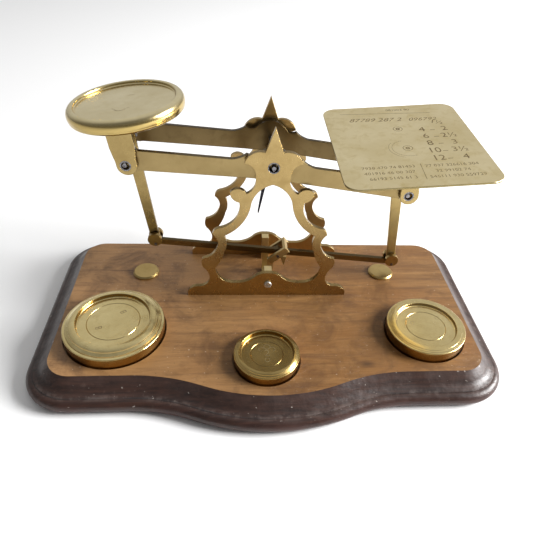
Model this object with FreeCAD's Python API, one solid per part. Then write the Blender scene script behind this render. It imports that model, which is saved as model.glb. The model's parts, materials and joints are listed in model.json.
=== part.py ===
"""Postal balance: a brass beam scale with a round pan, a letter plate and three loose weights.

Units are millimetres.  +X is to the right (letter plate side), +Y goes away from the front, +Z is up.
The origin is the middle of the wooden base's footprint to within 0.3 mm, on the surface it stands on.
The beam is drawn where it comes to rest, with the letter plate down.
"""
import FreeCAD
import Part
import math
import os

# ---------------------------------------------------------------- driving dimensions
BASE_H = 16.0            # height of the wooden base
PANEL_HALF_W = 120.8     # half width of the pale panel
PANEL_REAR = 65.45       # rear edge of the panel
PANEL_FRONT = -51.45     # straight parts of its front edge
BOW_DEPTH = 14.5         # how far the serpentine front bows forward at the middle
BOW_HALF_W = 75.0        # half width of the bow
FRONT_CORNER_R = 14.0
REAR_CORNER_R = 12.0
PANEL_THICK = 10.0
EDGE_BEVEL = 3.6         # the dark moulded edge: its bevel, its little step, its widest line and its foot
EDGE_STEP = (8.9, 7.0)   # (outwards from the panel, below its top)
EDGE_WIDE = (13.3, 11.5)
EDGE_FOOT = 10.0

MID_Y = 33.9             # plane of the legs, the pointer and the stay
PLATE_OUT = 22.4         # from that plane to the outer face of a frame plate
PLATE_T = 2.5            # thickness of a frame plate
BAR_OUT = 18.7           # outer face of a beam bar
BAR_T = 2.5              # thickness of a beam bar
CHEEK_OUT = 21.6         # outer face of a bracket cheek
CHEEK_T = 2.0            # thickness of a bracket cheek

PIVOT_H = 86.0           # centre knife edge above the base's top
ARM = 76.4               # centre knife to end knife, along the beam
KNIFE_DROP = 3.7         # end knife edges below the centre one
TILT = 5.9               # the beam at rest, letter plate side down (degrees)
STAY_X = 6.9             # the stay's own pivot
STAY_H = 18.3
STAY_ARM = 76.2          # stay pivot to foot pin

RING_R = 3.2             # centre bearing ring: outer and bore radius
RING_BORE = 2.65
END_RING_R = 2.85        # end bearing ring
END_RING_BORE = 2.2
KNIFE_GAP = 0.05         # knife edge to the ring it works on
PIN_R = 0.9              # foot pins and stay pin
PIN_FIT = 0.05           # running fit of the stay on its pin
OPEN_FIT = 0.35          # play of a foot pin in the stay's eye
FORK_R = 4.3             # discs of the forked feet

PAN_R = 30.3
PAN_FLOOR_R = 26.0
PAN_SHIFT = 2.7          # pan centre inboard of its bracket's centre line
PAN_UP = 24.05           # pan rim above the end knife edge
PLATE_HALF_X = 40.5      # letter plate
PLATE_HALF_Y = 46.8
PLATE_CORNER_R = 8.0
LETTER_T = 1.2
LETTER_X = 74.3
LETTER_H = 95.0
LETTER_TILT = 4.7        # letter plate out of level, right side up and rear side up (degrees)
LETTER_LEAN = 2.0
LETTER_RIVETS_Y = (-7.8, 15.3)   # the two rivets through the letter plate, from its centre
RIVET_R = 2.6

STOP_X = 77.9
STOP_R = 8.2
STOP_T = 1.8
STOP_PIN_R = 1.5         # the pin under a stop disc
STOP_PIN_LENGTH = 5.0
WOOD_SCREW_R = 1.5       # wood screws up through the base
WOOD_HEAD_R = 4.2
WOOD_HEAD_T = 3.0
WOOD_SCREW_TIP = 7.0     # above the base's top
POCKET_PLAY = 0.8
REST_GAP = 0.05          # a loose weight over its pocket's floor
EASE = 0.3               # radius of the eased edges of small flat pieces

V = FreeCAD.Vector
X_AXIS = V(1, 0, 0)
Y_AXIS = V(0, 1, 0)
Z_AXIS = V(0, 0, 1)
FAR = 60.0               # length of a cutting tool that has to reach right through


# ---------------------------------------------------------------- drawing helpers
def top(height):
    """Z of a height measured from the top of the wooden base."""
    return BASE_H + height


def box(x0, x1, y0, y1, z0, z1):
    return Part.makeBox(x1 - x0, y1 - y0, z1 - z0, V(x0, y0, z0))


def rod_y(x, z, y0, y1, r):
    return Part.makeCylinder(r, y1 - y0, V(x, y0, z), Y_AXIS)


def rod_z(x, y, z0, z1, r):
    return Part.makeCylinder(r, z1 - z0, V(x, y, z0), Z_AXIS)


def fuse(shapes):
    """One clean solid from several that meet."""
    whole = shapes[0]
    for shape in shapes[1:]:
        whole = whole.fuse(shape)
    return whole.removeSplitter()


def cut(shape, tools):
    for tool in tools:
        shape = shape.cut(tool)
    return shape.removeSplitter()


def chain(start, steps, place):
    """Edges from start through steps: a point is a straight line, a pair is an arc (through, to)."""
    edges = []
    here = place(*start)
    for step in steps:
        if isinstance(step[0], tuple):
            there = place(*step[1])
            edges.append(Part.Arc(here, place(*step[0]), there).toShape())
        else:
            there = place(*step)
            edges.append(Part.makeLine(here, there))
        here = there
    return edges


def mirrored(start, steps):
    """A half outline drawn from the centre line round to the centre line, with its other half."""
    points = [start]
    for step in steps:
        points.append(step[1] if isinstance(step[0], tuple) else step)
    back = []
    for step, target in zip(reversed(steps), reversed(points[:-1])):
        goal = (-target[0], target[1])
        if isinstance(step[0], tuple):
            back.append(((-step[0][0], step[0][1]), goal))
        else:
            back.append(goal)
    return steps + back


def slab_y(start, steps, y0, y1, place=None):
    """A closed outline in X and Z, given as for chain, extruded from y0 to y1."""
    place = place or (lambda x, z: V(x, 0, z))
    face = Part.Face(Part.Wire(chain(start, steps, place)))
    face.translate(V(0, y0, 0))
    return face.extrude(V(0, y1 - y0, 0))


def turned(profile, x, y, z):
    """A turned piece: profile is (radius, height) points and arcs that starts and ends on the axis."""
    wire = Part.Wire(chain(profile[0], profile[1:] + [profile[0]], lambda r, h: V(x + r, y, z + h)))
    return Part.Face(wire).revolve(V(x, y, 0), Z_AXIS, 360)


def eased(shape, size):
    """Takes the sharpness off the outline of a flat piece that lies in the XZ plane."""
    return shape.makeFillet(size, [e for e in shape.Edges if e.BoundBox.YLength < 0.0001])


def save(node, shape):
    if not shape.isValid():
        raise ValueError(node + " isn't a valid shape")
    shape.exportStep("parts/" + node + ".step")
    print(node, len(shape.Solids), round(shape.Volume, 1))


# ---------------------------------------------------------------- placing the moving pieces
def turn(x, z, degrees):
    """A vector in the XZ plane turned anticlockwise as seen from the front."""
    a = math.radians(degrees)
    return x * math.cos(a) - z * math.sin(a), x * math.sin(a) + z * math.cos(a)


def on_beam(x, z):
    """A point of the level beam, measured from the centre knife edge, at the beam's rest."""
    dx, dz = turn(x, z, -TILT)
    return dx, top(PIVOT_H) + dz


END_LEFT = on_beam(-ARM, -KNIFE_DROP)
END_RIGHT = on_beam(ARM, -KNIFE_DROP)


def on_stay(x, z):
    """A point of the level stay, measured from its pivot, at rest."""
    dx, dz = turn(x, z, -TILT)
    return STAY_X + dx, top(STAY_H) + dz


FOOT_LEFT = on_stay(-STAY_ARM, 0.0)
FOOT_RIGHT = on_stay(STAY_ARM, 0.0)
LEG_LENGTH = math.hypot(FOOT_LEFT[0] - END_LEFT[0], FOOT_LEFT[1] - END_LEFT[1])
LEAN = math.degrees(math.atan2(FOOT_LEFT[0] - END_LEFT[0], END_LEFT[1] - FOOT_LEFT[1]))


def leaning(pivot, degrees):
    """A placing function: (across, along) from a pivot, on an axis that leans to the left."""
    def place(across, along):
        dx, dz = turn(across, along, degrees)
        return V(pivot[0] + dx, 0, pivot[1] + dz)
    return place


# ---------------------------------------------------------------- the wooden base
def panel_steps(grow):
    """Half of the base's plan, grown outwards all round: rear edge, side, front corner, then the bow."""
    side = PANEL_HALF_W + grow
    rear = PANEL_REAR + grow
    front = PANEL_FRONT - grow
    rear_r = REAR_CORNER_R + grow
    front_r = FRONT_CORNER_R + grow
    rear_in = rear_r * (1 - math.sqrt(0.5))
    front_in = front_r * (1 - math.sqrt(0.5))
    bow_turn = 2 * math.atan(BOW_DEPTH / BOW_HALF_W)
    bow_r = BOW_HALF_W / 2 / math.sin(bow_turn)
    hollow_r = bow_r - grow
    crown_r = bow_r + grow
    hollow_y = PANEL_FRONT - bow_r
    crown_y = PANEL_FRONT - BOW_DEPTH + bow_r
    half = bow_turn / 2
    steps = [
        (side - rear_r, rear),
        ((side - rear_in, rear - rear_in), (side, rear - rear_r)),
        (side, front + front_r),
        ((side - front_in, front + front_in), (side - front_r, front)),
        (BOW_HALF_W, front),
        ((BOW_HALF_W - hollow_r * math.sin(half), hollow_y + hollow_r * math.cos(half)),
         (BOW_HALF_W - hollow_r * math.sin(bow_turn), hollow_y + hollow_r * math.cos(bow_turn))),
        ((crown_r * math.sin(half), crown_y - crown_r * math.cos(half)), (0.0, crown_y - crown_r)),
    ]
    return (0.0, rear), steps


def plan_wire(grow, z):
    start, steps = panel_steps(grow)
    return Part.Wire(chain(start, mirrored(start, steps), lambda x, y: V(x, y, z)))


def plan_slab(grow, z0, z1):
    return Part.Face(plan_wire(grow, z0)).extrude(V(0, 0, z1 - z0))


WEIGHTS = {
    # name: radius, centre x and y; its pocket's depth, then heights above the base's top: outer edge, lip of
    # the recess and its floor; radii of the lip and of the scribed circle
    "weight_8oz": (28.1, -88.5, -18.6, 3.0, 6.3, 10.0, 7.6, 20.4, 14.6),
    "weight_4oz": (23.0, 91.8, -22.1, 2.0, 6.4, 7.3, 5.5, 17.6, 11.6),
    "weight_2oz": (18.2, -2.8, -41.4, 1.6, 5.2, 7.0, 4.2, 14.7, 8.9),
}

FOOT_POST_IN = PLATE_OUT - PLATE_T           # outer face of a foot post
FOOT_POST_T = 5.0
FOOT_POST_H = 17.6
SCREW_SPOTS = [(0.0, MID_Y - FOOT_POST_IN + FOOT_POST_T / 2),
               (0.0, MID_Y + FOOT_POST_IN - FOOT_POST_T / 2)]


def wood_screw_head(x, y):
    return Part.makeCone(WOOD_HEAD_R, WOOD_SCREW_R, WOOD_HEAD_T, V(x, y, 0), Z_AXIS)


def base_screw_tools(r):
    """Shank holes for the wood screws that come up through the base."""
    return [rod_z(x, y, -1, top(1), r) for x, y in SCREW_SPOTS]


def make_base():
    step_out, step_down = EDGE_STEP
    wide_out, wide_down = EDGE_WIDE
    edge = [
        (0.0, 0.0), (EDGE_BEVEL, -EDGE_BEVEL),
        ((step_out - 2.4, 0.9 - step_down), (step_out, -step_down)),
        (step_out + 0.3, -step_down - 0.7),
        ((wide_out - 1.1, 2.4 - wide_down), (wide_out, -wide_down)),
        ((wide_out - 0.9, -wide_down - 2.6), (EDGE_FOOT, -BASE_H)),
        (-6.0, -BASE_H), (-6.0, -PANEL_THICK), (0.0, -PANEL_THICK), (0.0, 0.0),
    ]
    rear = PANEL_REAR
    section = Part.Wire(chain(edge[0], edge[1:], lambda d, z: V(0, rear + d, top(z))))
    ring = plan_wire(0.0, BASE_H).makePipeShell([section], True, False)
    core = plan_slab(-3.0, 0.0, BASE_H - PANEL_THICK)
    heads = [wood_screw_head(x, y) for x, y in SCREW_SPOTS]
    stops = [rod_z(s * STOP_X, MID_Y, top(-STOP_PIN_LENGTH), top(1), STOP_PIN_R) for s in (-1, 1)]
    save("base_plinth", cut(fuse([ring, core]), base_screw_tools(WOOD_SCREW_R) + heads))

    panel = plan_slab(0.0, BASE_H - PANEL_THICK, BASE_H)
    pockets = []
    for r, x, y, depth, *_ in WEIGHTS.values():
        pockets.append(rod_z(x, y, top(-depth), top(1), r + POCKET_PLAY))
    save("base_panel", cut(panel, pockets + stops + base_screw_tools(WOOD_SCREW_R)))

    screws = []
    for x, y in SCREW_SPOTS:
        slot = box(x - 5, x + 5, y - 0.5, y + 0.5, -1, 1)
        shank = rod_z(x, y, WOOD_HEAD_T - 0.1, top(WOOD_SCREW_TIP), WOOD_SCREW_R)
        screws.append(fuse([cut(wood_screw_head(x, y), [slot]), shank]))
    save("base_screws", Part.makeCompound(screws))


def make_stops():
    for side, name in ((-1, "stop_disc_left"), (1, "stop_disc_right")):
        profile = [(0.0, -STOP_PIN_LENGTH), (STOP_PIN_R, -STOP_PIN_LENGTH), (STOP_PIN_R, 0.0),
                   (STOP_R, 0.0), (STOP_R, STOP_T - 0.9),
                   (STOP_R - 0.9, STOP_T), (0.0, STOP_T)]
        save(name, turned(profile, side * STOP_X, MID_Y, BASE_H))


# ---------------------------------------------------------------- the fret-cut frame
OUTER_FRET = [
    (4.7, 97.3),
    ((11.4, 96.5), (15.3, 91.0)),                   # pointed arm of the star
    ((10.7, 88.2), (9.4, 83.0)),
    ((10.0, 77.2), (14.0, 73.0)),
    ((18.6, 76.0), (22.9, 73.8)),                   # leaf
    ((21.6, 69.8), (17.9, 67.6)),
    ((19.4, 58.0), (29.0, 50.6)),
    ((31.8, 49.2), (33.1, 46.2)),                   # middle scroll
    ((30.2, 41.6), (31.0, 36.0)),
    ((33.9, 31.6), (39.2, 29.0)),                   # lower scroll
    ((40.0, 25.6), (38.9, 22.0)),
    ((36.1, 17.6), (35.7, 12.8)),
    ((37.6, 9.2), (41.5, 7.4)),
    ((46.6, 6.2), (49.4, 3.0)),                     # foot
    (49.4, 0.0),
    (0.0, 0.0),
]
INNER_FRET = [
    ((7.6, 74.2), (11.6, 65.0)),                    # bell
    ((16.2, 54.0), (26.3, 45.4)),
    ((25.0, 40.4), (26.3, 34.4)),
    ((28.2, 28.4), (31.8, 22.2)),                   # lower lobe
    ((29.2, 14.0), (20.0, 10.2)),
    ((13.0, 11.4), (7.6, 15.4)),
    ((4.2, 17.3), (0.0, 17.8)),                     # hump that takes the screw
]
SCREW_H = 9.2            # frame screws
SCREW_R = 1.25


def make_frame():
    ring_z = top(PIVOT_H) + RING_BORE - KNIFE_GAP
    for side, place, name in ((-1, "front", "frame_plate_front"), (1, "rear", "frame_plate_rear")):
        y0 = MID_Y - PLATE_OUT if side < 0 else MID_Y + PLATE_OUT - PLATE_T
        y1 = y0 + PLATE_T
        lift = lambda x, h: V(x, 0, top(h))
        plate = slab_y((0.0, 110.7), mirrored((0.0, 110.7), OUTER_FRET), y0, y1, lift)
        window = slab_y((0.0, 78.8), mirrored((0.0, 78.8), INNER_FRET), y0 - 1, y1 + 1, lift)
        holes = [rod_y(0, ring_z, y0 - 1, y1 + 1, RING_R), rod_y(0, top(SCREW_H), y0 - 1, y1 + 1, SCREW_R)]
        save(name, cut(plate, [window] + holes))
        ring = rod_y(0, ring_z, y0, y1, RING_R)
        save("centre_ring_" + place, cut(ring, [rod_y(0, ring_z, y0 - 1, y1 + 1, RING_BORE)]))
        inner = MID_Y + side * FOOT_POST_IN
        p0, p1 = sorted((inner, inner - side * FOOT_POST_T))
        post = box(-2.3, 2.3, p0, p1, BASE_H, top(FOOT_POST_H))
        tools = [rod_y(0, top(SCREW_H), p0 - 1, p1 + 1, SCREW_R),
                 rod_z(0, (p0 + p1) / 2, BASE_H - 1, top(WOOD_SCREW_TIP), WOOD_SCREW_R)]
        save("foot_post_" + place, cut(post, tools))
    screws = []
    for side in (-1, 1):
        face = MID_Y + side * PLATE_OUT
        tail = face - side * (PLATE_T + FOOT_POST_T - 1.0)
        shank = rod_y(0, top(SCREW_H), min(face, tail), max(face, tail), SCREW_R)
        h0, h1 = sorted((face, face + side * 1.5))
        head = rod_y(0, top(SCREW_H), h0, h1, 2.4)
        rim = [e for e in head.Edges if abs(e.BoundBox.YMin - (face + side * 1.5)) < 0.01
               and abs(e.BoundBox.YMax - (face + side * 1.5)) < 0.01]
        head = head.makeFillet(0.8, rim)
        s0, s1 = sorted((face + side * 0.8, face + side * 2))
        slot = box(-3, 3, s0, s1, top(SCREW_H) - 0.35, top(SCREW_H) + 0.35)
        slot.rotate(V(0, 0, top(SCREW_H)), Y_AXIS, 38)
        screws.append(fuse([cut(head, [slot]), shank]))
    save("frame_screws", Part.makeCompound(screws))


# ---------------------------------------------------------------- the stay's post, yoke and pin
YOKE_TURN = 40.0         # the yoke slopes up to the right (degrees)
YOKE_OUT = 6.0           # outer faces of its cheeks from the mid plane
YOKE_T = 1.8


def make_stay_support():
    post_rear = box(-2.4, 1.4, MID_Y + 2.4, MID_Y + YOKE_OUT - YOKE_T, BASE_H, top(17.0))
    post_front = box(0.4, 4.4, MID_Y - YOKE_OUT + YOKE_T, MID_Y - 2.4, BASE_H, top(15.2))
    foot = box(-2.4, 4.4, MID_Y - YOKE_OUT + YOKE_T, MID_Y + YOKE_OUT - YOKE_T, BASE_H, top(2.0))
    save("stay_post", fuse([post_rear, foot, post_front]))

    yoke = []
    for side in (-1, 1):
        y0, y1 = sorted((MID_Y + side * YOKE_OUT, MID_Y + side * (YOKE_OUT - YOKE_T)))
        yoke.append(box(-6.9, 7.6, y0, y1, -2.2, 2.3))
    yoke.append(box(5.8, 7.6, MID_Y - YOKE_OUT, MID_Y + YOKE_OUT, -0.4, 2.3))
    yoke = fuse(yoke)
    yoke.rotate(V(0, 0, 0), Y_AXIS, -YOKE_TURN)
    yoke.translate(V(STAY_X, 0, top(STAY_H)))
    lug = slab_y((8.2, 18.6), [(12.4, 17.6), (11.0, 10.8), (8.2, 18.6)], MID_Y - YOKE_OUT,
                 MID_Y - YOKE_OUT + YOKE_T, lambda x, h: V(x, 0, top(h)))
    bore = rod_y(STAY_X, top(STAY_H), MID_Y - FAR, MID_Y + FAR, PIN_R)
    save("stay_yoke", cut(fuse([yoke, lug]), [bore]))
    save("stay_pin", rod_y(STAY_X, top(STAY_H), MID_Y - YOKE_OUT - 0.5, MID_Y + YOKE_OUT + 0.5, PIN_R))


# ---------------------------------------------------------------- the beam
BAR_TOP = [
    ((5.0, 10.6), (9.6, 6.6)),                      # central hump
    ((12.2, 6.1), (14.8, 6.9)),                     # little shoulder
    ((17.6, 4.9), (22.5, 3.2)),                     # ogee down to the arm
]
BAR_END_R = 5.5


def bar_steps():
    """The right half of a bar's outline, from the top of its hump to the middle of its lower edge."""
    end_top = (ARM - 6.0, 1.8)
    end_low = (ARM - 4.0, -9.2)
    return BAR_TOP + [end_top, ((ARM + BAR_END_R - 0.4, -3.7), end_low), (14.0, -6.6), (0.0, -6.3)]


def knife(x, z, up, y0, y1):
    """A steel knife: a wedge whose edge is on the hinge line, with its body above or below."""
    s = 1 if up else -1
    section = [(0.0, 0.0), (1.15, s * 2.0), ((0.0, s * 3.2), (-1.15, s * 2.0)), (0.0, 0.0)]
    wedge = slab_y(section[0], section[1:], y0, y1)
    wedge.rotate(V(0, 0, 0), Y_AXIS, TILT)
    wedge.translate(V(x, 0, z))
    return wedge


def make_beam():
    y_front = MID_Y - BAR_OUT
    y_rear = MID_Y + BAR_OUT
    centre = knife(0, top(PIVOT_H), True, MID_Y - PLATE_OUT + 0.5, MID_Y + PLATE_OUT - 0.5)
    save("centre_knife", centre)
    ends = []
    for name, (x, z) in (("end_knives_left", END_LEFT), ("end_knives_right", END_RIGHT)):
        pair = []
        for side in (-1, 1):
            y0, y1 = sorted((MID_Y + side * (CHEEK_OUT - 0.3), MID_Y + side * (BAR_OUT - BAR_T - 0.8)))
            pair.append(knife(x, z, False, y0, y1))
        save(name, Part.makeCompound(pair))
        ends = ends + pair
    hump = (0.0, 12.4)
    place = lambda x, z: V(on_beam(x, z)[0], 0, on_beam(x, z)[1])
    for name, y0, y1 in (("beam_bar_front", y_front, y_front + BAR_T),
                         ("beam_bar_rear", y_rear - BAR_T, y_rear)):
        bar = slab_y(hump, mirrored(hump, bar_steps()), y0, y1, place)
        save(name, cut(bar, [centre] + ends))
    sx, sz = on_beam(0, -4.0)
    spacer = rod_y(sx, sz, y_front + BAR_T, y_rear - BAR_T, 1.9)
    shank = slab_y((-2.0, -4.0), [(1.1, -4.0), (-1.8, -38.4), (-2.3, -40.0), (-2.7, -38.4), (-2.0, -4.0)],
                   MID_Y - 0.6, MID_Y + 0.6, place)
    save("beam_spacer", cut(spacer, [shank]))
    save("pointer", shank)


# ---------------------------------------------------------------- brackets, legs and platforms
def cheek_outline(half_top, half_low):
    """Half outline of a cheek from above its ring: (across, along), along from the knife edge."""
    ring_along = -END_RING_BORE
    return [(half_top, FAR / 2), (half_top, 8.0), ((half_top - 0.5, 4.0), (half_low, 0.5)),
            (half_low, ring_along), ((half_low * 0.7071, ring_along - half_low * 0.7071),
                                     (0.0, ring_along - half_low))]


def make_bracket(pivot, half_top, half_low, shift, web, under):
    """A U bracket: two cheeks, moved inboard by shift, that hang from a web.  under is all that is above
    the web's top."""
    place = leaning(pivot, LEAN)
    ring = place(0.0, KNIFE_GAP - END_RING_BORE)
    pieces = [web]
    start = (0.0, FAR / 2)
    outline = mirrored(start, cheek_outline(half_top, half_low))
    for side in (-1, 1):
        y0, y1 = sorted((MID_Y + side * CHEEK_OUT, MID_Y + side * (CHEEK_OUT - CHEEK_T)))
        cheek = slab_y(start, outline, y0, y1, lambda across, along: place(across + shift, along))
        pieces.append(eased(cheek, EASE))
    bore = rod_y(ring.x, ring.z, MID_Y - FAR, MID_Y + FAR, END_RING_R)
    return cut(fuse(pieces), [under, bore]), ring


def make_leg(pivot, foot, under, name):
    """The flat strip from a bracket's web down to its forked foot, and the fork with its pin."""
    place = leaning(foot, LEAN)
    strip = slab_y((-2.8, 6.0), [(2.6, 6.0), (3.7, LEG_LENGTH + FAR / 2), (-3.7, LEG_LENGTH + FAR / 2),
                                 (-2.8, 6.0)], MID_Y - 1.1, MID_Y + 1.1, place)
    save("leg_" + name, cut(eased(strip, EASE), [under]))
    discs = []
    centre = place(0.0, 2.8)
    for side in (-1, 1):
        y0, y1 = sorted((MID_Y + side * 4.2, MID_Y + side * 2.0))
        discs.append(rod_y(centre.x, centre.z, y0, y1, FORK_R))
    bridge = slab_y((-3.1, 3.4), [(3.1, 3.4), (3.1, 6.0), (-3.1, 6.0), (-3.1, 3.4)],
                    MID_Y - 4.2, MID_Y + 4.2, place)
    bore = rod_y(foot[0], foot[1], MID_Y - FAR, MID_Y + FAR, PIN_R)
    save("foot_fork_" + name, cut(fuse([bridge] + discs), [bore]))
    save("foot_pin_" + name, rod_y(foot[0], foot[1], MID_Y - 4.5, MID_Y + 4.5, PIN_R))


def save_rings(ring, name):
    rings = []
    for side in (-1, 1):
        y0, y1 = sorted((MID_Y + side * CHEEK_OUT, MID_Y + side * (CHEEK_OUT - CHEEK_T)))
        body = rod_y(ring.x, ring.z, y0, y1, END_RING_R)
        rings.append(cut(body, [rod_y(ring.x, ring.z, y0 - 1, y1 + 1, END_RING_BORE)]))
    save("end_rings_" + name, Part.makeCompound(rings))


def make_pan_side():
    place = leaning(END_LEFT, LEAN)
    seat = place(0.0, PAN_UP - 2.5)
    web = box(-5.6, 7.0, MID_Y - CHEEK_OUT, MID_Y + CHEEK_OUT, -1.8, 0.0)
    under = box(-FAR, FAR, MID_Y - FAR, MID_Y + FAR, 0.0, FAR)
    web_bottom = box(-FAR, FAR, MID_Y - FAR, MID_Y + FAR, -1.8, FAR)
    for shape in (web, under, web_bottom):
        shape.rotate(V(0, 0, 0), Y_AXIS, -LEAN)
        shape.translate(V(seat.x, 0, seat.z))
    bracket, ring = make_bracket(END_LEFT, 6.3, 5.3, 0.7, web, under)
    rivet_at = place(PAN_SHIFT, PAN_UP)
    profile = [(0.0, -2.5), (PAN_FLOOR_R + 0.6, -2.5), (PAN_FLOOR_R + 1.6, -6.6), (PAN_R - 1.5, -6.6),
               ((PAN_R - 0.7, -6.1), (PAN_R - 0.3, -5.0)), ((PAN_R, -3.4), (PAN_R - 0.2, -1.9)),
               ((PAN_R - 1.2, -0.2), (PAN_FLOOR_R + 0.8, 0.6)), ((PAN_FLOOR_R + 0.1, 0.1), (PAN_FLOOR_R, -0.7)),
               (PAN_FLOOR_R - 0.5, -1.1), (0.0, -1.1)]
    pan = turned(profile, 0, MID_Y, 0)
    rivet = turned([(0.0, -4.3), (1.8, -4.3), (1.2, -3.7), (1.2, -1.1), (0.0, -1.1)], 0, MID_Y, 0)
    for shape in (pan, rivet):
        shape.rotate(V(0, 0, 0), Y_AXIS, -LEAN)
        shape.translate(rivet_at)
    save("pan_rivet", rivet)
    save("pan", cut(pan, [rivet]))
    save("pan_bracket", cut(bracket, [rivet]))
    save_rings(ring, "left")
    make_leg(END_LEFT, FOOT_LEFT, web_bottom, "left")


def make_letter_side():
    web = box(-4.9, 4.9, MID_Y - CHEEK_OUT, MID_Y + CHEEK_OUT, -1.8, 0.0)
    under = box(-FAR, FAR, MID_Y - FAR, MID_Y + FAR, 0.0, FAR)
    web_bottom = box(-FAR, FAR, MID_Y - FAR, MID_Y + FAR, -1.8, FAR)
    plate = box(-PLATE_HALF_X, PLATE_HALF_X, MID_Y - PLATE_HALF_Y, MID_Y + PLATE_HALF_Y, 0.0, LETTER_T)
    upright = [e for e in plate.Edges if e.BoundBox.ZLength > LETTER_T / 2 and e.BoundBox.XLength < 0.01]
    plate = plate.makeFillet(PLATE_CORNER_R, [e for e in upright if e.BoundBox.YLength < 0.01])
    rims = [e for e in plate.Edges if e.BoundBox.ZLength < 0.0001]
    plate = plate.makeFillet(EASE, rims)
    head = [(0.0, -1.8), (1.2, -1.8), (1.2, LETTER_T - 1.0), (RIVET_R, LETTER_T - 0.1), (RIVET_R, LETTER_T),
            (0.0, LETTER_T)]
    rivets = Part.makeCompound([turned(head, 0, MID_Y + y, 0) for y in LETTER_RIVETS_Y])
    for shape in (web, under, web_bottom, plate, rivets):
        shape.rotate(V(0, MID_Y, 0), X_AXIS, LETTER_LEAN)
        shape.rotate(V(0, MID_Y, 0), Y_AXIS, -LETTER_TILT)
        shape.translate(V(LETTER_X, 0, top(LETTER_H) - LETTER_T))
    bracket, ring = make_bracket(END_RIGHT, 5.3, 5.2, 0.4, web, under)
    save("letter_plate", cut(plate, [rivets]))
    save("letter_rivets", rivets)
    save("letter_bracket", cut(bracket, [rivets]))
    save_rings(ring, "right")
    make_leg(END_RIGHT, FOOT_RIGHT, web_bottom, "right")


def make_stay():
    place = lambda x, z: V(on_stay(x, z)[0], 0, on_stay(x, z)[1])
    end = STAY_ARM
    half = [(end, 1.9), ((end + 1.9, 0.0), (end, -1.9)), (0.0, -1.9)]
    bar = slab_y((0.0, 1.9), mirrored((0.0, 1.9), half), MID_Y - 1.2, MID_Y + 1.2, place)
    eyes = [rod_y(x, z, MID_Y - FAR, MID_Y + FAR, PIN_R + OPEN_FIT) for x, z in (FOOT_LEFT, FOOT_RIGHT)]
    hub = rod_y(STAY_X, top(STAY_H), MID_Y - 1.9, MID_Y + 1.9, 2.6)
    pivot = rod_y(STAY_X, top(STAY_H), MID_Y - FAR, MID_Y + FAR, PIN_R + PIN_FIT)
    save("stay_bar", cut(fuse([bar, hub]), eyes + [pivot]))


# ---------------------------------------------------------------- the loose weights
def make_weights():
    for name, (r, x, y, depth, edge, lip, floor, lip_r, scribe_r) in WEIGHTS.items():
        wide = r - lip_r
        rise = lip - edge
        profile = [
            (0.0, REST_GAP - depth), (r - 0.6, REST_GAP - depth), (r, REST_GAP - depth + 0.6), (r, edge - 0.6),
            ((r - 0.18, edge - 0.16), (r - 0.6, edge)),                     # rounded outer edge
            (r - 0.20 * wide, edge + 0.06 * rise),
            (r - 0.22 * wide, edge + 0.22 * rise),                          # a turned step
            (r - 0.44 * wide, edge + 0.50 * rise),
            (r - 0.46 * wide, edge + 0.62 * rise),                          # another
            ((r - 0.68 * wide, edge + 0.87 * rise), (lip_r + 0.5, lip)),    # swelling up to the lip
            ((lip_r + 0.1, lip - 0.1), (lip_r, lip - 0.5)),
            (lip_r - 0.2, floor + 0.9), ((lip_r - 0.45, floor + 0.25), (lip_r - 1.1, floor)),
            (scribe_r + 0.25, floor), (scribe_r, floor - 0.25), (scribe_r - 0.25, floor),
            (0.0, floor),
        ]
        save(name, turned(profile, x, y, BASE_H))


def main():
    os.makedirs("parts", exist_ok=True)
    make_base()
    make_stops()
    make_frame()
    make_stay_support()
    make_beam()
    make_pan_side()
    make_letter_side()
    make_stay()
    make_weights()


main()
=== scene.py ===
"""Postal balance: brass and wood finishes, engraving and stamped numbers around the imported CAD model."""
import json
import math
import random
import bmesh
import bpy
from mathutils import Matrix, Vector


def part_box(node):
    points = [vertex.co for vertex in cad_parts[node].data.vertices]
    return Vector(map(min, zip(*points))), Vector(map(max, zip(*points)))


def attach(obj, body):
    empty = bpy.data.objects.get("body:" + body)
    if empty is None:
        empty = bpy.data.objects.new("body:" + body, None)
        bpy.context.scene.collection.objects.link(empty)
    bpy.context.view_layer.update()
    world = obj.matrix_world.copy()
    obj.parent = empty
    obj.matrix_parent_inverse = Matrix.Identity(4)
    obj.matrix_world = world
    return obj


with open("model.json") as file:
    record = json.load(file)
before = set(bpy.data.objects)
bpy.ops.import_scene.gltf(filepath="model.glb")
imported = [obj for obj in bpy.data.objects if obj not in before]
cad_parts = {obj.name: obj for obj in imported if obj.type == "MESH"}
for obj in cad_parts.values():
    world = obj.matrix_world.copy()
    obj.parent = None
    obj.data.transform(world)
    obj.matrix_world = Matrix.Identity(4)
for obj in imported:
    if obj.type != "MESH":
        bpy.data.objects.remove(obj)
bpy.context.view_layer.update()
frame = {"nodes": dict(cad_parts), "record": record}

MM = 0.001
LETTER_TILT = math.radians(4.7)      # letter plate: right side up, and rear side up
LETTER_LEAN = math.radians(2.0)
LETTER_T = 1.2 * MM
LETTER_RIVETS_Y = (-7.8, 15.3)       # millimetres from the plate's middle
LETTER_RIVET_R = 2.6
TABLE_TOP = 13.1                     # the table's first line, and the step between lines, in millimetres
TABLE_STEP = 8.3
PAN_TILT = math.radians(6.661)
PAN_FLOOR = Vector((2.7, 0.0, 22.95)) * MM   # middle of the pan's floor from its hinge, before the tilt
INLAY = 0.03 * MM                    # thickness of the dark fill in engraved lines
PROUD = 0.012 * MM                   # and how much of it stands out of the brass


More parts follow.
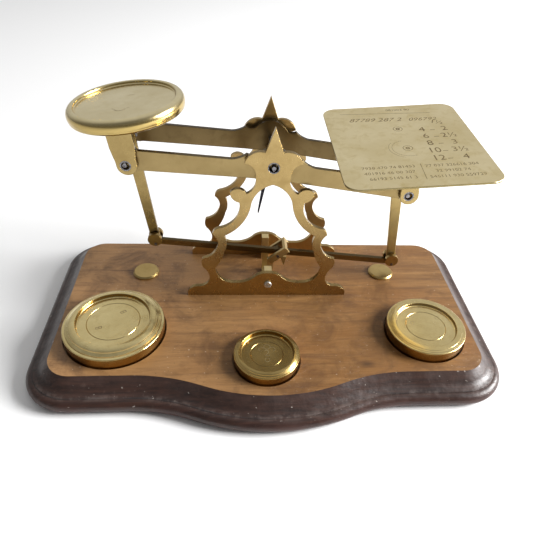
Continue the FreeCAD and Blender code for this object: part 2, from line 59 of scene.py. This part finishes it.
# ---------------------------------------------------------------- node trees
class Recipe:
    """A material's node tree, written with a few short calls. Lengths in it are millimetres."""

    def __init__(self, name):
        self.material = bpy.data.materials.new(name)
        self.material.use_nodes = True
        self.tree = self.material.node_tree
        self.shader = self.tree.nodes["Principled BSDF"]
        place = self.node("TexCoord").outputs["Object"]
        self.place = self.node("VectorMath", {0: place, "Scale": 1 / MM}, operation="SCALE").outputs[0]

    def feed(self, socket, value):
        if isinstance(value, bpy.types.NodeSocket):
            self.tree.links.new(value, socket)
        else:
            socket.default_value = value

    def node(self, kind, inputs=None, **settings):
        made = self.tree.nodes.new("ShaderNode" + kind)
        for key, value in settings.items():
            setattr(made, key, value)
        for key, value in (inputs or {}).items():
            self.feed(made.inputs[key], value)
        return made

    def stretched(self, x, y, z, start=None):
        inputs = {0: start or self.place, 1: (x, y, z)}
        return self.node("VectorMath", inputs, operation="MULTIPLY").outputs[0]

    def length(self, vector):
        return self.node("VectorMath", {0: vector}, operation="LENGTH").outputs["Value"]

    def noise(self, vector, scale, detail=3.0, rough=0.5, bend=0.0):
        inputs = {"Vector": vector, "Scale": scale, "Detail": detail, "Roughness": rough,
                  "Distortion": bend}
        return self.node("TexNoise", inputs).outputs[0]

    def spread(self, value, low, high, to_low=0.0, to_high=1.0):
        inputs = {0: value, 1: low, 2: high, 3: to_low, 4: to_high}
        return self.node("MapRange", inputs, clamp=True).outputs[0]

    def maths(self, operation, a, b=0.0):
        return self.node("Math", {0: a, 1: b}, operation=operation).outputs[0]

    def times(self, a, b):
        return self.maths("MULTIPLY", a, b)

    def mix(self, share, a, b):
        made = self.node("Mix", data_type="RGBA")
        self.feed(made.inputs[0], share)
        self.feed(made.inputs[6], a)
        self.feed(made.inputs[7], b)
        return made.outputs[2]

    def bump(self, height, distance, below=None):
        inputs = {"Height": height, "Distance": distance * MM, "Strength": 1.0}
        if below:
            inputs["Normal"] = below
        return self.node("Bump", inputs).outputs[0]

    def line(self, value, middle, width):
        """1 on the thin line where value passes middle, fading out to 0."""
        off = self.maths("ABSOLUTE", self.maths("SUBTRACT", value, middle))
        return self.spread(off, 0.0, width, 1.0, 0.0)

    def finish(self, **sockets):
        for name, value in sockets.items():
            self.feed(self.shader.inputs[name.replace("_", " ")], value)
        return self.material


def rgb(red, green, blue):
    """A colour from its 0 to 255 display values."""
    def linear(v):
        v = v / 255
        return v / 12.92 if v <= 0.04045 else ((v + 0.055) / 1.055) ** 2.4
    return (linear(red), linear(green), linear(blue), 1.0)


# ---------------------------------------------------------------- metals
def brass(name, bright, aged, rough, brushed=None, turned=None, wear=0.4, grain=0.002,
          broad=None, edge_shade=0.6, deep=None, soften=0.4):
    """Lacquered brass. brushed stretches the polishing marks along an axis; turned is a lathe axis's
    (centre, tilt), which gives rings instead. wear is the share of aged colour in the worn patches and
    grain the depth of the marks. broad is the axis that a sheet's broad faces look along: its cut edges
    get painted shade, darker by edge_shade. deep is the colour of painted shade on faces that stand
    upright.
    soften is how far, in millimetres, sharp edges look rounded."""
    r = Recipe(name)
    cloud = r.noise(r.place, 0.035, 4.0, 0.6)
    blotch = r.noise(r.place, 0.16, 5.0, 0.65, 0.4)
    tone = r.spread(cloud, 0.35, 0.70)
    patch = r.spread(blotch, 0.50, 0.76, 0.0, wear)
    colour = r.mix(r.times(tone, 0.5), bright, aged)
    colour = r.mix(patch, colour, aged)
    # a darker aged colour: random tarnish specks, and also the painted shade on cut edges below
    tarnish_and_shade = tuple(0.35 * c for c in aged[:3]) + (1.0,)
    colour = r.mix(r.spread(r.noise(r.place, 1.1, 2.0, 0.6), 0.76, 0.82, 0.0, 0.12), colour, tarnish_and_shade)
    facing = r.node("SeparateXYZ", {0: r.node("TexCoord").outputs["Normal"]}).outputs
    if broad is not None:
        # painted shade: cut edges, whose faces turn away from the broad axis, are darkened
        cut_edge_shade = r.spread(r.maths("ABSOLUTE", facing[broad]), 0.4, 0.8, edge_shade, 0.0)
        colour = r.mix(cut_edge_shade, colour, tarnish_and_shade)
    # painted shade: the more upright a face stands, the more it takes the darker colour
    if deep:
        colour = r.mix(r.spread(facing[2], 0.25, 0.85, 0.9, 0.0), colour, deep)
    if turned:
        centre, tilt = turned
        local = r.node("Mapping", {"Vector": r.place, "Location": tuple(c / MM for c in centre),
                                   "Rotation": (0.0, -tilt, 0.0)}, vector_type="TEXTURE").outputs[0]
        flat = r.stretched(1.0, 1.0, 0.0, local)
        radius = r.length(flat)
        marks = r.node("TexNoise", {"W": radius, "Scale": 2.2, "Detail": 3.0, "Roughness": 0.7},
                       noise_dimensions="1D").outputs[0]
    else:
        marks = r.noise(r.stretched(*brushed), 2.2, 3.0, 0.7)
    scratch = r.line(r.noise(r.stretched(0.35, 0.6, 0.5), 0.33, 1.0, 0.4, 1.4), 0.5, 0.0035)
    scratch = r.times(scratch, r.spread(r.noise(r.place, 0.12, 2.0), 0.5, 0.62))
    colour = r.mix(r.times(scratch, 0.35), colour, bright)
    roughness = r.spread(r.maths("ADD", r.times(marks, 0.4), r.times(blotch, 0.8)),
                         0.35, 0.95, rough - 0.02, rough + 0.08)
    edge = r.node("Bevel", {"Radius": soften * MM}, samples=4).outputs[0] if soften else None
    normal = r.bump(marks, grain, edge)
    normal = r.bump(r.noise(r.place, 0.07, 2.0), 0.08, normal)
    normal = r.bump(r.times(scratch, -1.0), 0.006, normal)
    return r.finish(Base_Color=colour, Metallic=1.0, Roughness=roughness, Normal=normal)


def steel(name, bright, aged, rough=0.3):
    r = Recipe(name)
    blotch = r.noise(r.place, 0.9, 4.0, 0.6)
    colour = r.mix(r.spread(blotch, 0.4, 0.7), bright, aged)
    normal = r.bump(r.noise(r.stretched(1.0, 4.0, 4.0), 1.5, 3.0), 0.02)
    roughness = r.spread(blotch, 0.3, 0.8, rough, rough + 0.2)
    return r.finish(Base_Color=colour, Metallic=1.0, Roughness=roughness, Normal=normal)


def engraving(name, light, dark):
    """The dark fill in engraved lines, worn pale in places."""
    r = Recipe(name)
    colour = r.mix(r.spread(r.noise(r.place, 0.25, 4.0), 0.36, 0.64), dark, light)
    return r.finish(Base_Color=colour, Metallic=0.6, Roughness=0.5)


# ---------------------------------------------------------------- woods
BASE_H = 16.0                        # the base's top and a knot in it, in millimetres
KNOT = (52.8, -45.8, BASE_H)


def wood_panel():
    """Light stained board: grain along X with figure, dark stains, pores, scratches, specks and a knot.
    It is paler towards its left end: painted light."""
    r = Recipe("light_stained_wood")
    warp = r.noise(r.stretched(0.010, 0.022, 0.022), 1.0, 4.0, 0.55)
    shift = r.node("CombineXYZ", {1: r.times(warp, 9.0)}).outputs[0]
    bent = r.node("VectorMath", {0: r.stretched(0.030, 0.42, 0.42), 1: shift}, operation="ADD").outputs[0]
    broad = r.noise(bent, 0.33, 4.0, 0.6, 0.5)
    fine = r.noise(bent, 1.9, 7.0, 0.75, 0.3)
    pores = r.noise(r.stretched(0.16, 2.2, 2.2), 1.0, 3.0, 0.6)
    tone = r.maths("ADD", r.times(broad, 0.5), r.times(fine, 0.5))
    colour = r.mix(r.spread(tone, 0.36, 0.66), rgb(104, 72, 40), rgb(154, 116, 72))
    cloud = r.noise(r.place, 0.020, 4.0, 0.6)
    colour = r.mix(r.spread(cloud, 0.40, 0.64, 0.0, 0.45), colour, rgb(126, 82, 38))
    # painted light: the board is made paler towards its left end
    across = r.node("SeparateXYZ", {0: r.place}).outputs[0]
    painted_light_left = r.times(r.spread(across, -120.0, 30.0, 1.0, 0.0),
                     r.spread(cloud, 0.30, 0.60, 0.35, 0.8))
    colour = r.mix(painted_light_left, colour, rgb(176, 134, 88))
    stain = r.spread(r.noise(r.place, 0.045, 5.0, 0.7, 0.6), 0.48, 0.66, 0.0, 0.60)
    colour = r.mix(stain, colour, rgb(84, 57, 34))
    streak = r.spread(r.noise(r.stretched(0.020, 0.30, 0.30), 1.0, 5.0, 0.7, 0.4), 0.52, 0.68, 0.0, 0.60)
    colour = r.mix(streak, colour, rgb(90, 62, 40))
    colour = r.mix(r.spread(pores, 0.60, 0.76, 0.0, 0.50), colour, rgb(72, 48, 30))
    from_knot = r.node("VectorMath", {0: r.place, 1: KNOT}, operation="SUBTRACT").outputs[0]
    ovals = r.length(r.stretched(0.55, 1.0, 1.0, from_knot))
    colour = r.mix(r.spread(ovals, 0.5, 3.4, 0.75, 0.0), colour, rgb(64, 42, 26))
    scratch = r.line(r.noise(r.stretched(0.5, 1.0, 1.0), 0.10, 2.0, 0.5, 2.2), 0.5, 0.0022)
    scratch = r.times(scratch, r.spread(r.noise(r.place, 0.055, 2.0), 0.50, 0.58))
    colour = r.mix(r.times(scratch, 0.5), colour, rgb(190, 166, 134))
    nick = r.line(r.noise(r.stretched(0.8, 0.5, 0.5), 0.14, 1.0, 0.4, 1.6), 0.5, 0.0022)
    nick = r.times(nick, r.spread(r.noise(r.place, 0.07, 2.0), 0.56, 0.62))
    colour = r.mix(r.times(nick, 0.55), colour, rgb(70, 46, 30))
    speck = r.spread(r.noise(r.place, 0.75, 1.0), 0.71, 0.76)
    colour = r.mix(r.times(speck, 0.6), colour, rgb(66, 44, 28))
    pale = r.spread(r.noise(r.stretched(1.0, 1.3, 1.0), 0.62, 1.0), 0.75, 0.785)
    colour = r.mix(r.times(pale, 0.6), colour, rgb(206, 190, 166))
    normal = r.bump(pores, -0.05)
    normal = r.bump(r.times(scratch, -1.0), 0.05, normal)
    normal = r.bump(broad, 0.12, normal)
    return r.finish(Base_Color=colour, Roughness=r.spread(fine, 0.3, 0.7, 0.34, 0.52), Normal=normal,
                    Specular_IOR_Level=0.45)


def wood_edge():
    """Dark stained moulding, dry and rubbed on its edges, with paint flecks, painted sheen on its upper
    part and a painted highlight along its ridge.
    """
    r = Recipe("dark_moulded_wood")
    grain = r.noise(r.stretched(0.05, 0.6, 0.6), 1.0, 5.0, 0.65, 0.4)
    cloud = r.noise(r.place, 0.05, 4.0, 0.6)
    colour = r.mix(r.spread(grain, 0.35, 0.68), rgb(36, 23, 19), rgb(64, 42, 34))
    height = r.node("SeparateXYZ", {0: r.place}).outputs[2]
    low = r.times(r.spread(height, 2.0, 9.0, 1.0, 0.0), r.spread(cloud, 0.40, 0.60, 0.3, 1.0))
    colour = r.mix(r.times(low, 0.6), colour, rgb(84, 42, 32))
    # grey on the upper moulding: dust and painted sheen
    dust_and_sheen = r.spread(height, 9.5, 14.5, 0.0, 0.24)
    dust_and_sheen = r.times(dust_and_sheen, r.spread(r.noise(r.place, 0.09, 5.0, 0.65), 0.36, 0.62, 0.3, 1.0))
    colour = r.mix(dust_and_sheen, colour, rgb(90, 72, 66))
    # painted highlight: a broken light line along the moulding's ridge
    ridge_highlight = r.line(height, BASE_H - 7.2, 0.9)
    broken = r.spread(r.noise(r.stretched(0.6, 0.6, 0.2), 0.30, 3.0, 0.6), 0.46, 0.60)
    ridge_highlight = r.times(ridge_highlight, broken)
    colour = r.mix(r.times(ridge_highlight, 0.3), colour, rgb(136, 122, 116))
    rub = r.spread(r.noise(r.place, 0.30, 5.0, 0.7), 0.60, 0.74, 0.0, 0.30)
    colour = r.mix(rub, colour, rgb(112, 92, 84))
    fleck = r.spread(r.noise(r.place, 0.55, 2.0, 0.5), 0.715, 0.755)
    colour = r.mix(r.times(fleck, 0.6), colour, rgb(206, 196, 186))
    normal = r.bump(grain, 0.10)
    normal = r.bump(r.noise(r.place, 0.16, 3.0), 0.35, normal)
    return r.finish(Base_Color=colour, Roughness=r.spread(cloud, 0.35, 0.7, 0.30, 0.48), Normal=normal,
                    Specular_IOR_Level=0.5)


# ---------------------------------------------------------------- finishes for the CAD nodes
LONG_X = (0.12, 1.0, 1.0)            # polishing marks drawn out along X, and along Z
LONG_Z = (1.0, 1.0, 0.12)
PLATES = {"broad": 1}                # sheets whose broad faces look along Y

# name of the brass, its bright and aged colours, roughness, polishing marks, other settings, nodes
BRASSES = (
    ("frame_brass", (182, 157, 106), (142, 116, 68), 0.26, LONG_Z, {"broad": 1, "edge_shade": 0.35},
     ("frame_plate_front",)),
    ("rear_frame_brass", (200, 173, 120), (160, 132, 80), 0.30, LONG_Z, {"broad": 1, "edge_shade": 0.35},
     ("frame_plate_rear",)),
    ("beam_brass", (160, 139, 95), (120, 100, 62), 0.28, LONG_X, {"broad": 1, "edge_shade": 0.8},
     ("beam_bar_front",)),
    ("rear_beam_brass", (116, 98, 66), (84, 69, 44), 0.28, LONG_X, PLATES, ("beam_bar_rear",)),
    ("stay_brass", (132, 112, 74), (92, 75, 46), 0.28, LONG_X, PLATES, ("stay_bar",)),
    ("leg_brass", (166, 144, 94), (122, 101, 58), 0.26, LONG_Z, PLATES, ("leg_left",)),
    ("pale_leg_brass", (188, 165, 112), (152, 129, 80), 0.36, LONG_Z, {}, ("leg_right",)),
    ("bracket_brass", (180, 158, 106), (136, 112, 68), 0.26, LONG_Z, PLATES,
     ("pan_bracket", "letter_bracket")),
    ("post_brass", (226, 206, 156), (194, 170, 116), 0.42, LONG_Z, {},
     ("foot_post_front", "foot_post_rear", "stay_post")),
    ("yoke_brass", (206, 182, 128), (160, 132, 80), 0.36, (1.0, 1.0, 1.0), {}, ("stay_yoke",)),
    ("dull_brass", (172, 146, 94), (108, 84, 48), 0.30, (1.0, 1.0, 1.0), {},
     ("beam_spacer", "foot_fork_left", "foot_fork_right")),
    ("plate_brass", (240, 224, 180), (206, 184, 122), 0.32, (0.5, 0.5, 1.0),
     {"wear": 0.7, "broad": 2, "edge_shade": 0.9, "soften": 0.0}, ("letter_plate", "letter_rivets")),
)


def centre_of(node):
    low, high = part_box(node)
    return (low + high) / 2


def turned_brass(node, bright, aged, rough, tilt=0.0, deep=None):
    return brass(node + "_brass", bright, aged, rough, turned=(centre_of(node), tilt), deep=deep,
                 grain=0.001, soften=0.0)


def paint(material, *nodes):
    for name in nodes:
        mesh = frame["nodes"][name].data
        mesh.materials.clear()
        mesh.materials.append(material)


def finish_nodes():
    paint(wood_edge(), "base_plinth")
    paint(wood_panel(), "base_panel")
    for name, bright, aged, rough, brushed, settings, nodes in BRASSES:
        paint(brass(name, rgb(*bright), rgb(*aged), rough, brushed, **settings), *nodes)
    # the pan's upright rim gets painted shade in a deeper gold
    paint(turned_brass("pan", rgb(232, 217, 174), rgb(206, 188, 134), 0.20, PAN_TILT, rgb(188, 162, 96)),
          "pan", "pan_rivet")
    # the 2 oz weight's darker, browner colours are painted shade, for the darker surroundings it reflects
    for name, bright, aged in (("weight_8oz", rgb(232, 213, 156), rgb(190, 166, 104)),
                               ("weight_4oz", rgb(232, 212, 156), rgb(190, 165, 104)),
                               ("weight_2oz", rgb(190, 164, 106), rgb(148, 121, 68))):
        # the weights' upright sides get painted shade in a darker brass
        paint(turned_brass(name, bright, aged, 0.22, deep=rgb(158, 122, 60)), name)
    for name in ("stop_disc_left", "stop_disc_right"):
        paint(turned_brass(name, rgb(200, 174, 116), rgb(150, 120, 66), 0.28), name)
    dark = steel("blued_steel", rgb(150, 148, 150), rgb(70, 68, 72))
    paint(dark, "centre_ring_front", "centre_ring_rear", "centre_knife", "end_rings_left",
          "end_rings_right", "end_knives_left", "end_knives_right")
    paint(steel("pointer_steel", rgb(62, 62, 70), rgb(32, 32, 38), 0.35), "pointer")
    paint(steel("bright_steel", rgb(214, 210, 204), rgb(168, 162, 154), 0.38), "frame_screws")
    paint(steel("screw_steel", rgb(128, 122, 118), rgb(66, 58, 54)),
          "base_screws", "stay_pin", "foot_pin_left", "foot_pin_right")


# ---------------------------------------------------------------- engraving and stamps
class Engraving:
    """Filled engraved lines and numbers, drawn flat in millimetres and kept as one thin mesh."""

    def __init__(self):
        self.mesh = bmesh.new()

    def text(self, words, x, y, size, shear=0.0, angle=0.0):
        data = bpy.data.curves.new("digits", "FONT")
        data.body = words
        data.size = size
        data.shear = shear
        data.align_x = "CENTER"
        data.align_y = "CENTER"
        data.resolution_u = 3
        data.extrude = INLAY / MM / 2
        holder = bpy.data.objects.new("digits", data)
        bpy.context.scene.collection.objects.link(holder)
        outline = bpy.data.meshes.new_from_object(holder)
        outline.transform(Matrix.Translation((x, y, 0.0)) @ Matrix.Rotation(math.radians(angle), 4, "Z"))
        self.mesh.from_mesh(outline)
        bpy.data.objects.remove(holder)
        bpy.data.curves.remove(data)
        bpy.data.meshes.remove(outline)

    def stroke(self, points, width):
        """A thin line of constant width through the points."""
        half = INLAY / MM / 2
        for (x0, y0), (x1, y1) in zip(points, points[1:]):
            long = math.hypot(x1 - x0, y1 - y0)
            dx, dy = -(y1 - y0) / long * width / 2, (x1 - x0) / long * width / 2
            corners = [(x0 + dx, y0 + dy), (x0 - dx, y0 - dy), (x1 - dx, y1 - dy), (x1 + dx, y1 + dy)]
            low = [self.mesh.verts.new((x, y, -half)) for x, y in corners]
            high = [self.mesh.verts.new((x, y, half)) for x, y in corners]
            self.mesh.faces.new(low[::-1])
            self.mesh.faces.new(high)
            for i in range(4):
                j = (i + 1) % 4
                self.mesh.faces.new((low[i], low[j], high[j], high[i]))

    def arc(self, x, y, radius, start, end, width):
        count = max(4, int(abs(end - start) / 9))
        angles = [math.radians(start + (end - start) * i / count) for i in range(count + 1)]
        self.stroke([(x + radius * math.cos(a), y + radius * math.sin(a)) for a in angles], width)

    def done(self, name, place, body, slot, material):
        """place takes the drawing's plane to the brass surface, in metres."""
        bmesh.ops.recalc_face_normals(self.mesh, faces=self.mesh.faces)
        data = bpy.data.meshes.new(name)
        self.mesh.to_mesh(data)
        self.mesh.free()
        lift = Matrix.Translation((0.0, 0.0, PROUD - INLAY / 2))
        data.transform(place @ lift @ Matrix.Scale(MM, 4))
        data.materials.append(material)
        piece = bpy.data.objects.new(name, data)
        bpy.context.scene.collection.objects.link(piece)
        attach(piece, body)


def figures(dice, length):
    """A line of made-up figures in groups."""
    line = ""
    while len(line) < length:
        line += "".join(dice.choice("0123456789") for _ in range(dice.randint(2, 6))) + " "
    return line[:length].strip()


def letter_plate_engraving(material, faint):
    """The table of ounces, and around it faint lines of figures and the rivets' outlines."""
    dice = random.Random(11)
    draw = Engraving()
    for row, (left, right) in enumerate((("4", "2"), ("6", "2½"), ("8", "3"), ("10", "3½"), ("12", "4"))):
        y = TABLE_TOP - TABLE_STEP * row
        draw.text(left, 13.4, y, 7.6)
        draw.stroke([(17.8, y - 1.0), (20.6, y - 1.0)], 0.5)
        draw.text(right, 26.4 + 0.4 * row, y, 7.2)
    draw.text("1½", 24.6, 21.5, 6.0, angle=-20.0)
    place = (Matrix.Translation(centre_of("letter_plate")) @ Matrix.Rotation(-LETTER_TILT, 4, "Y")
             @ Matrix.Rotation(LETTER_LEAN, 4, "X") @ Matrix.Translation((0.0, 0.0, LETTER_T / 2)))
    draw.done("letter_plate_table", place, "letter_carrier", "plate_brass", material)
    draw = Engraving()
    draw.text(figures(dice, 11), -11.0, 28.2, 6.2, shear=0.35, angle=-3.0)
    draw.text(figures(dice, 6), 17.0, 26.4, 5.6, shear=0.35, angle=-3.0)
    draw.text(figures(dice, 9), 5.6, 40.6, 3.4, angle=-3.0)
    draw.stroke([(-30.3, 38.2), (24.2, 34.6)], 0.3)
    for x, y, length in ((-15.4, -27.2, 17), (-15.8, -32.5, 16), (-15.0, -37.8, 15),
                         (17.7, -27.7, 17), (16.8, -33.0, 11), (17.8, -38.3, 17)):
        draw.text(figures(dice, length), x, y, 3.6)
    draw.stroke([(1.9, -25.0), (1.1, -40.4)], 0.3)
    for radius, start, end in ((8.6, 100.0, 290.0), (10.4, 140.0, 250.0)):
        draw.arc(-0.2, -7.8, radius, start, end, 0.16)
    for y in LETTER_RIVETS_Y:
        draw.arc(-0.2, y, LETTER_RIVET_R, 0.0, 360.0, 0.35)
        draw.arc(-0.2, y, LETTER_RIVET_R / 3, 0.0, 360.0, 0.8)
    draw.done("letter_plate_figures", place, "letter_carrier", "plate_brass", faint)


def pan_marks(material):
    draw = Engraving()
    draw.arc(-1.0, -9.0, 2.9, 200.0, 340.0, 0.4)
    draw.stroke([(-4.4, -9.4), (-5.2, -8.6)], 0.35)
    draw.stroke([(2.4, -9.4), (3.2, -8.6)], 0.35)
    draw.stroke([(0.4, 8.6), (3.6, 8.9)], 0.3)
    joints = {joint["name"]: joint for joint in frame["record"]["behaviour"]["joints"]}
    hinge = joints["pan_carrier_hinge"]["pos_m"]
    place = Matrix.Translation(hinge) @ Matrix.Rotation(-PAN_TILT, 4, "Y") @ Matrix.Translation(PAN_FLOOR)
    draw.done("pan_marks", place, "pan_carrier", "pan_brass", material)


STAMP_UP = {"weight_8oz": 10.55, "weight_4oz": 7.45, "weight_2oz": 5.75}   # millimetres over the underside


def weight_marks(material):
    """Small stamps on the floors of the weights' recesses."""
    eight = Engraving()
    for x, y, angle in ((4.3, 7.4, 35.0), (-7.1, -5.3, 20.0)):
        turned = [(math.cos(math.radians(angle + a)) * 1.7, math.sin(math.radians(angle + a)) * 1.7)
                  for a in (25, 155, 205, 335, 385)]
        eight.stroke([(x + dx, y + dy) for dx, dy in turned], 0.3)
        eight.text("8", x, y, 1.6, angle=angle)
    four = Engraving()
    for x, y in ((9.0, 6.6), (6.9, -9.3), (-7.0, 2.6)):
        four.arc(x, y, 1.3, 0.0, 300.0, 0.22)
    two = Engraving()
    two.text("2", 0.2, 0.6, 6.4)
    for x, y, radius, start, end in ((0.3, 5.2, 1.7, 0.0, 360.0), (-2.8, 3.4, 1.5, 30.0, 250.0),
                                     (3.2, 3.4, 1.5, -70.0, 150.0), (0.2, -4.2, 1.3, 0.0, 360.0)):
        two.arc(x, y, radius, start, end, 0.45)
    for draw, name in ((eight, "weight_8oz"), (four, "weight_4oz"), (two, "weight_2oz")):
        middle = centre_of(name)
        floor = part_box(name)[0].z + STAMP_UP[name] * MM
        place = Matrix.Translation((middle.x, middle.y, floor))
        draw.done(name + "_stamp", place, name, "weight_brass", material)


# ---------------------------------------------------------------- camera, floor and light
CAMERA_AT = Vector((-20.2, -226.2, 230.0)) * MM
CAMERA_YAW = math.radians(5.87)
CAMERA_PITCH = math.radians(39.59)
CAMERA_ROLL = math.radians(3.80)
SENSOR = 36.0
LENS = 33.12
FLOOR_SIZE = 12.0                    # metres


def add_camera():
    """Yaw to the right, pitch down, then roll anticlockwise."""
    yaw, pitch, roll = CAMERA_YAW, CAMERA_PITCH, CAMERA_ROLL
    ahead = Vector((math.sin(yaw) * math.cos(pitch), math.cos(yaw) * math.cos(pitch), -math.sin(pitch)))
    level = Vector((math.cos(yaw), -math.sin(yaw), 0.0))
    upright = level.cross(ahead)
    right = math.cos(roll) * level + math.sin(roll) * upright
    up = math.cos(roll) * upright - math.sin(roll) * level
    data = bpy.data.cameras.new("camera")
    data.sensor_width = SENSOR
    data.lens = LENS
    data.clip_start = 0.01
    camera = bpy.data.objects.new("camera", data)
    camera.matrix_world = Matrix.Translation(CAMERA_AT) @ Matrix((right, up, -ahead)).transposed().to_4x4()
    bpy.context.scene.collection.objects.link(camera)
    bpy.context.scene.camera = camera


def add_floor():
    bpy.ops.mesh.primitive_plane_add(size=FLOOR_SIZE)
    floor = bpy.context.object
    floor.name = "floor"
    r = Recipe("pale_floor")
    floor.data.materials.append(r.finish(Base_Color=(0.96, 0.96, 0.96, 1.0), Roughness=0.8,
                                         Specular_IOR_Level=0.1))


KEY_AT = Vector((1.50, -0.10, 0.74))     # the square key light: place, aim, side and watts
KEY_AIM = Vector((0.0, 0.0, 0.04))
KEY_SIDE = 0.80
KEY_POWER = 70.0


def add_key():
    data = bpy.data.lights.new("key", "AREA")
    data.shape = "SQUARE"
    data.size = KEY_SIDE
    data.energy = KEY_POWER
    light = bpy.data.objects.new("key", data)
    light.location = KEY_AT
    light.rotation_euler = (KEY_AIM - KEY_AT).to_track_quat("-Z", "Y").to_euler()
    bpy.context.scene.collection.objects.link(light)


WINDOW = Vector((0.0, 0.72, 0.69))   # towards the broad bright side of the room, and its brightness
SKYLIGHT = 0.62
ROOM = 0.19                          # the brightness of the rest of the room
FADE = (0.2, 0.9)                    # cosines of the angles from the window with all of ROOM and SKYLIGHT


def add_sky():
    world = bpy.data.worlds.new("studio")
    bpy.context.scene.world = world
    world.use_nodes = True
    tree = world.node_tree
    shine = tree.nodes["Background"]
    shine.inputs[0].default_value = (1.0, 1.0, 1.0, 1.0)
    toward = tree.nodes.new("ShaderNodeVectorMath")
    toward.operation = "DOT_PRODUCT"
    toward.inputs[1].default_value = WINDOW.normalized()
    tree.links.new(tree.nodes.new("ShaderNodeTexCoord").outputs["Generated"], toward.inputs[0])
    fade = tree.nodes.new("ShaderNodeMapRange")
    for index, value in ((1, FADE[0]), (2, FADE[1]), (3, ROOM), (4, SKYLIGHT)):
        fade.inputs[index].default_value = value
    tree.links.new(toward.outputs["Value"], fade.inputs[0])
    tree.links.new(fade.outputs[0], shine.inputs[1])


def main():
    finish_nodes()
    faint = engraving("worn_stamp", rgb(140, 122, 82), rgb(110, 92, 58))
    letter_plate_engraving(engraving("engraved_fill", rgb(136, 117, 78), rgb(104, 86, 52)), faint)
    pan_marks(faint)
    weight_marks(faint)
    add_camera()
    add_floor()
    add_sky()
    add_key()
    view = bpy.context.scene.view_settings
    view.view_transform = "Standard"
    view.look = "None"


main()
